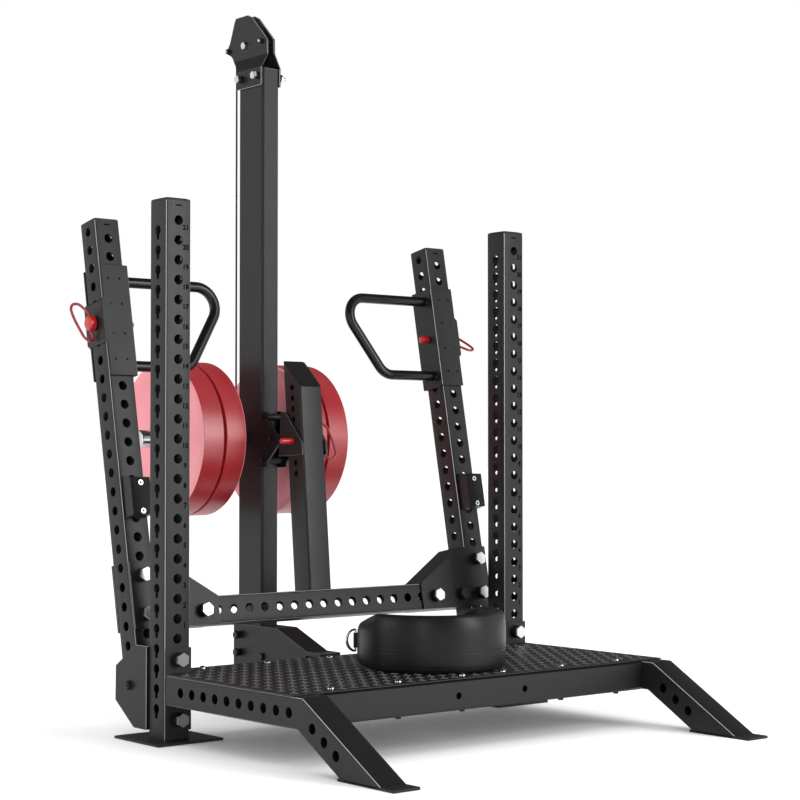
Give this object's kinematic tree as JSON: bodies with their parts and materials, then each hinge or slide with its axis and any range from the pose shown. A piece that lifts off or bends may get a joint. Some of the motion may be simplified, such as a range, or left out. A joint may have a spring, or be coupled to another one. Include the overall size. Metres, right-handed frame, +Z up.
{
  "type": "belt squat machine",
  "caption": "Steel belt squat machine: a perforated rack with a tread deck, sliding D handles, a rear mast with a weight carriage, and a cable run to a padded belt.",
  "frame": {"origin": "on the floor under the middle of the footprint's bounding box", "axes": "+Z up, -Y towards the front of the deck where the user stands, +X towards the machine's right-hand upright as seen from the front"},
  "size_m": [1.3988, 1.734, 2.03],
  "materials": {
    "powder_coat": "satin black powder coat",
    "deck_paint": "satin black tread plate",
    "black_plastic": "matte black plastic",
    "pulley_nylon": "smooth black nylon",
    "red_coat": "glossy red powder coat",
    "red_rubber": "red bumper plate rubber",
    "chrome": "bright chrome",
    "zinc": "zinc plated steel",
    "leather": "black padded leather",
    "cable_jacket": "black coated steel cable"
  },
  "bodies": {
    "rack": {"left_upright": "powder_coat", "right_upright": "powder_coat", "left_upright_cap": "black_plastic", "right_upright_cap": "black_plastic", "left_side_rail": "powder_coat", "right_side_rail": "powder_coat", "front_beam": "powder_coat", "rear_beam": "powder_coat", "deck_plate": "deck_paint", "centre_channel": "powder_coat", "centre_rail": "powder_coat", "left_lean_post": "powder_coat", "right_lean_post": "powder_coat", "left_post_cap": "black_plastic", "right_post_cap": "black_plastic", "left_post_bracket": "powder_coat", "right_post_bracket": "powder_coat", "cross_member": "powder_coat", "left_gusset": "powder_coat", "right_gusset": "powder_coat", "left_stop_block": "black_plastic", "right_stop_block": "black_plastic", "catch_post": "powder_coat", "catch_bracket": "powder_coat", "mast": "powder_coat", "mast_foot_bracket": "powder_coat", "left_head_plate": "powder_coat", "right_head_plate": "powder_coat", "head_axle": "zinc", "base_pulley_axle": "zinc", "deck_pulley_axle": "zinc", "front_guard_rod": "zinc", "rear_guard_rod": "zinc", "cable": "cable_jacket"},
    "left_trolley": {"left_trolley": "powder_coat"},
    "right_trolley": {"right_trolley": "powder_coat"},
    "left_trolley_pin": {"left_trolley_pin": "red_coat"},
    "right_trolley_pin": {"right_trolley_pin": "red_coat"},
    "left_trolley_bail": {"left_trolley_bail": "red_coat"},
    "right_trolley_bail": {"right_trolley_bail": "red_coat"},
    "catch_pin": {"catch_pin": "red_coat"},
    "catch_bail": {"catch_bail": "red_coat"},
    "top_pulley": {"top_pulley": "pulley_nylon"},
    "base_pulley": {"base_pulley": "pulley_nylon"},
    "deck_pulley": {"deck_pulley": "pulley_nylon"},
    "carriage": {"carriage": "powder_coat", "horn_bar": "chrome", "cable_rear_run": "cable_jacket"},
    "upper_front_roller": {"upper_front_roller": "black_plastic"},
    "upper_rear_roller": {"upper_rear_roller": "black_plastic"},
    "lower_front_roller": {"lower_front_roller": "black_plastic"},
    "lower_rear_roller": {"lower_rear_roller": "black_plastic"},
    "left_weights": {"left_inner_weight": "red_rubber", "left_outer_weight": "red_rubber"},
    "right_weights": {"right_inner_weight": "red_rubber", "right_outer_weight": "red_rubber"},
    "belt": {"belt": "leather", "cable_stop": "black_plastic", "carabiner": "zinc", "cable_lift": "cable_jacket"}
  },
  "joints": [
    {"name": "left_trolley_slide", "type": "slide", "parent": "rack", "child": "left_trolley", "axis": [0, 0.1908, 0.9816], "range_m": [-0.2032, 0.1016]},
    {"name": "right_trolley_slide", "type": "slide", "parent": "rack", "child": "right_trolley", "axis": [0, 0.1908, 0.9816], "range_m": [-0.2032, 0.1016]},
    {"name": "left_trolley_pin_slide", "type": "slide", "parent": "left_trolley", "child": "left_trolley_pin", "axis": [-1, 0, 0], "range_m": [0, 0.115]},
    {"name": "right_trolley_pin_slide", "type": "slide", "parent": "right_trolley", "child": "right_trolley_pin", "axis": [1, 0, 0], "range_m": [0, 0.115]},
    {"name": "left_trolley_bail_swing", "type": "hinge", "parent": "left_trolley_pin", "child": "left_trolley_bail", "pos_m": [-0.64165, 0.38584, 1.07893], "axis": [0, 0.1908, 0.9816], "range_deg": [-85, 85]},
    {"name": "right_trolley_bail_swing", "type": "hinge", "parent": "right_trolley_pin", "child": "right_trolley_bail", "pos_m": [0.64165, 0.38584, 1.07893], "axis": [0, 0.8192, 0.5736], "range_deg": [-85, 85]},
    {"name": "catch_pin_slide", "type": "slide", "parent": "rack", "child": "catch_pin", "axis": [1, 0, 0], "range_m": [0, 0.135]},
    {"name": "catch_bail_swing", "type": "hinge", "parent": "catch_pin", "child": "catch_bail", "pos_m": [0.0535, 0.28654, 0.76572], "axis": [0, 0, 1], "range_deg": [-85, 85]},
    {"name": "carriage_slide", "type": "slide", "parent": "rack", "child": "carriage", "axis": [0, 0, 1], "range_m": [0, 0.9], "deforming": ["cable_rear_run"]},
    {"name": "belt_slide", "type": "slide", "parent": "rack", "child": "belt", "axis": [0, 0, 1], "range_m": [0, 0.9], "deforming": ["cable_lift"]},
    {"name": "top_pulley_spin", "type": "hinge", "parent": "rack", "child": "top_pulley", "pos_m": [0, 0.571, 1.941], "axis": [1, 0, 0], "continuous": true},
    {"name": "base_pulley_spin", "type": "hinge", "parent": "rack", "child": "base_pulley", "pos_m": [0, 0.447, 0.1445], "axis": [1, 0, 0], "continuous": true},
    {"name": "deck_pulley_spin", "type": "hinge", "parent": "rack", "child": "deck_pulley", "pos_m": [0, -0.17, 0.1175], "axis": [1, 0, 0], "continuous": true},
    {"name": "upper_front_roller_spin", "type": "hinge", "parent": "carriage", "child": "upper_front_roller", "pos_m": [0, 0.4471, 0.836], "axis": [1, 0, 0], "continuous": true},
    {"name": "lower_front_roller_spin", "type": "hinge", "parent": "carriage", "child": "lower_front_roller", "pos_m": [0, 0.4471, 0.712], "axis": [1, 0, 0], "continuous": true},
    {"name": "upper_rear_roller_spin", "type": "hinge", "parent": "carriage", "child": "upper_rear_roller", "pos_m": [0, 0.5889, 0.836], "axis": [1, 0, 0], "continuous": true},
    {"name": "lower_rear_roller_spin", "type": "hinge", "parent": "carriage", "child": "lower_rear_roller", "pos_m": [0, 0.5889, 0.712], "axis": [1, 0, 0], "continuous": true},
    {"name": "left_weights_slide", "type": "slide", "parent": "carriage", "child": "left_weights", "axis": [-1, 0, 0], "range_m": [0, 0.23]},
    {"name": "right_weights_slide", "type": "slide", "parent": "carriage", "child": "right_weights", "axis": [1, 0, 0], "range_m": [0, 0.23]}
  ],
  "couplings": [
    {"joint": "belt_slide", "follows": "carriage_slide", "ratio": 1},
    {"joint": "top_pulley_spin", "follows": "carriage_slide", "rad_per_m": 16.129},
    {"joint": "base_pulley_spin", "follows": "carriage_slide", "rad_per_m": -16.129},
    {"joint": "deck_pulley_spin", "follows": "carriage_slide", "rad_per_m": -28.571},
    {"joint": "upper_front_roller_spin", "follows": "carriage_slide", "rad_per_m": -100},
    {"joint": "lower_front_roller_spin", "follows": "carriage_slide", "rad_per_m": -100},
    {"joint": "upper_rear_roller_spin", "follows": "carriage_slide", "rad_per_m": 100},
    {"joint": "lower_rear_roller_spin", "follows": "carriage_slide", "rad_per_m": 100}
  ]
}
